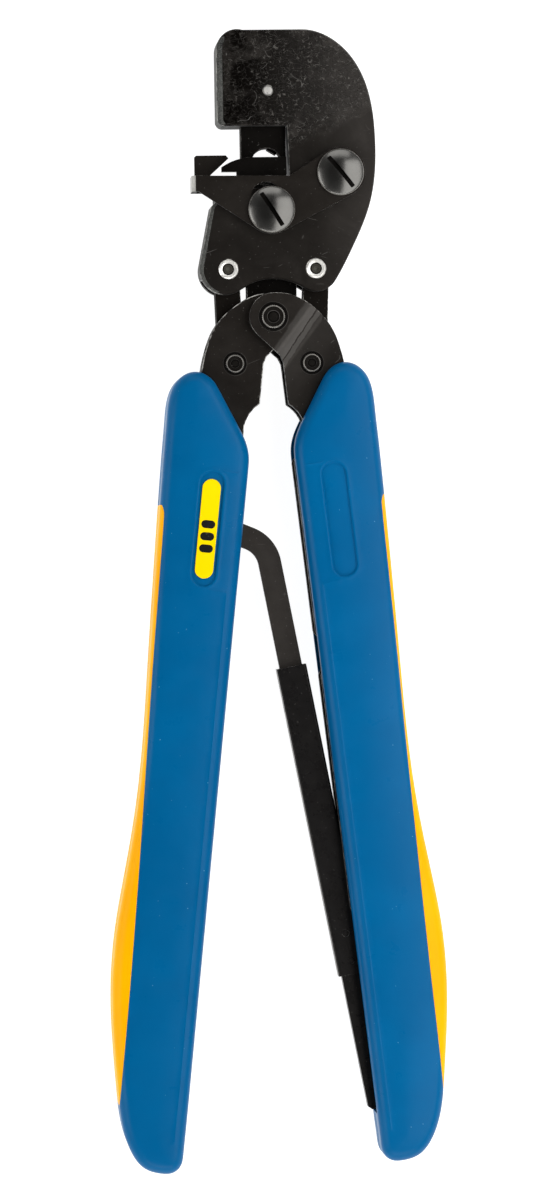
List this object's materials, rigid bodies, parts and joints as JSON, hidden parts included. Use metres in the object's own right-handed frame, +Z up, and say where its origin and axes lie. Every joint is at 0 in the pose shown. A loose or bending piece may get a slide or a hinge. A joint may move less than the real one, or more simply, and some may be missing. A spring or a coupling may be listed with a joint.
{
  "type": "ratcheting hand crimping tool",
  "caption": "Hand crimping tool with a C-shaped head, sliding ram on toggle links, swinging locator plate and a ratchet strut between moulded grips.",
  "frame": {"origin": "middle of the footprint, on the surface that the grips' backs lie on", "axes": "+X to the right and +Y towards the head with the locator facing up, +Z up out of the tool's front"},
  "size_m": [0.0968, 0.33, 0.024],
  "materials": {
    "frame_black": "black oxide, scuffed along the edges",
    "plate_black": "black oxide sheet, satin",
    "die_steel": "hardened and blackened",
    "ram_steel": "blackened, oiled",
    "link_steel": "blackened, oiled",
    "handle_steel": "black oxide sheet, worn edges",
    "pin_black": "blackened with a bright rim",
    "screw_black": "black, polished dome",
    "nickel_pin": "bright nickel",
    "bright_pin": "ground",
    "spring_steel": "spring steel",
    "sleeve_black": "gloss black",
    "bar_black": "black oxide",
    "grip_blue": "moulded, satin",
    "grip_amber": "moulded, soft touch",
    "label_yellow": "blank vinyl label"
  },
  "bodies": {
    "head": {"head_frame": "frame_black", "wire_crimper": "die_steel", "insulation_crimper": "die_steel", "die_retaining_pin": "bright_pin", "frame_pins": "nickel_pin", "locator_screws": "screw_black"},
    "locator": {"locator_plate": "plate_black"},
    "ram": {"ram": "ram_steel", "wire_anvil": "die_steel", "insulation_anvil": "die_steel", "ram_front_plate": "die_steel", "die_clamp_screw": "screw_black", "main_pivot_pin": "pin_black", "pivot_retaining_ring": "spring_steel"},
    "right_handle": {"right_handle_channel": "handle_steel", "right_grip": "grip_blue", "right_grip_insert": "grip_amber", "right_link_pin": "pin_black", "strut_anchor_pin": "pin_black"},
    "left_handle": {"left_handle_channel": "handle_steel", "left_grip": "grip_blue", "left_grip_insert": "grip_amber", "left_link_pin": "pin_black", "grip_label": "label_yellow"},
    "right_link": {"right_toggle_link": "link_steel"},
    "left_link": {"left_toggle_link": "link_steel"},
    "strut": {"ratchet_sleeve": "sleeve_black", "strut_lower_bar": "bar_black", "sleeve_rivets": "pin_black", "pawl_pin": "pin_black", "pawl_spring": "spring_steel"},
    "pawl": {"ratchet_pawl": "die_steel"},
    "ratchet_bar": {"ratchet_bar": "bar_black", "bar_end_pin": "pin_black"}
  },
  "joints": [
    {"name": "right_handle_pivot", "type": "hinge", "parent": "ram", "child": "right_handle", "pos_m": [0.00155, 0.08155, 0.012], "axis": [0, 0, 1], "range_deg": [-5.8, 15]},
    {"name": "left_handle_pivot", "type": "hinge", "parent": "ram", "child": "left_handle", "pos_m": [0.00155, 0.08155, 0.012], "axis": [0, 0, -1], "range_deg": [-5.9, 15.1]},
    {"name": "ram_slide", "type": "slide", "parent": "head", "child": "ram", "axis": [0, 1, 0], "range_m": [-0.00325, 0.00126]},
    {"name": "right_link_pivot", "type": "hinge", "parent": "head", "child": "right_link", "pos_m": [0.01425, 0.09545, 0.012], "axis": [0, 0, 1], "range_deg": [-2.72, 6.88]},
    {"name": "left_link_pivot", "type": "hinge", "parent": "head", "child": "left_link", "pos_m": [-0.01115, 0.09545, 0.012], "axis": [0, 0, -1], "range_deg": [-2.72, 6.88]},
    {"name": "strut_anchor_pivot", "type": "hinge", "parent": "right_handle", "child": "strut", "pos_m": [0.03259, -0.14038, 0.012], "axis": [0, 0, 1], "range_deg": [-3.1, 7.86]},
    {"name": "ratchet_slide", "type": "slide", "parent": "strut", "child": "ratchet_bar", "axis": [-0.1836, 0.983, 0], "range_m": [-0.00826, 0.02119]},
    {"name": "pawl_pivot", "type": "hinge", "parent": "strut", "child": "pawl", "pos_m": [0.0078, -0.03125, 0.01335], "axis": [-0.983, -0.1836, 0], "range_deg": [0, 5]},
    {"name": "locator_pivot", "type": "hinge", "parent": "head", "child": "locator", "pos_m": [0.02165, 0.12305, 0.012], "axis": [0, 0, 1], "range_deg": [0, 7]}
  ],
  "couplings": [
    {"joint": "left_handle_pivot", "follows": "right_handle_pivot", "ratio": 1},
    {"joint": "ram_slide", "follows": "right_handle_pivot", "m_per_rad": -0.012358},
    {"joint": "right_link_pivot", "follows": "right_handle_pivot", "ratio": 0.4523},
    {"joint": "left_link_pivot", "follows": "right_handle_pivot", "ratio": 0.4523},
    {"joint": "strut_anchor_pivot", "follows": "right_handle_pivot", "ratio": 0.517},
    {"joint": "ratchet_slide", "follows": "right_handle_pivot", "m_per_rad": 0.08056}
  ]
}
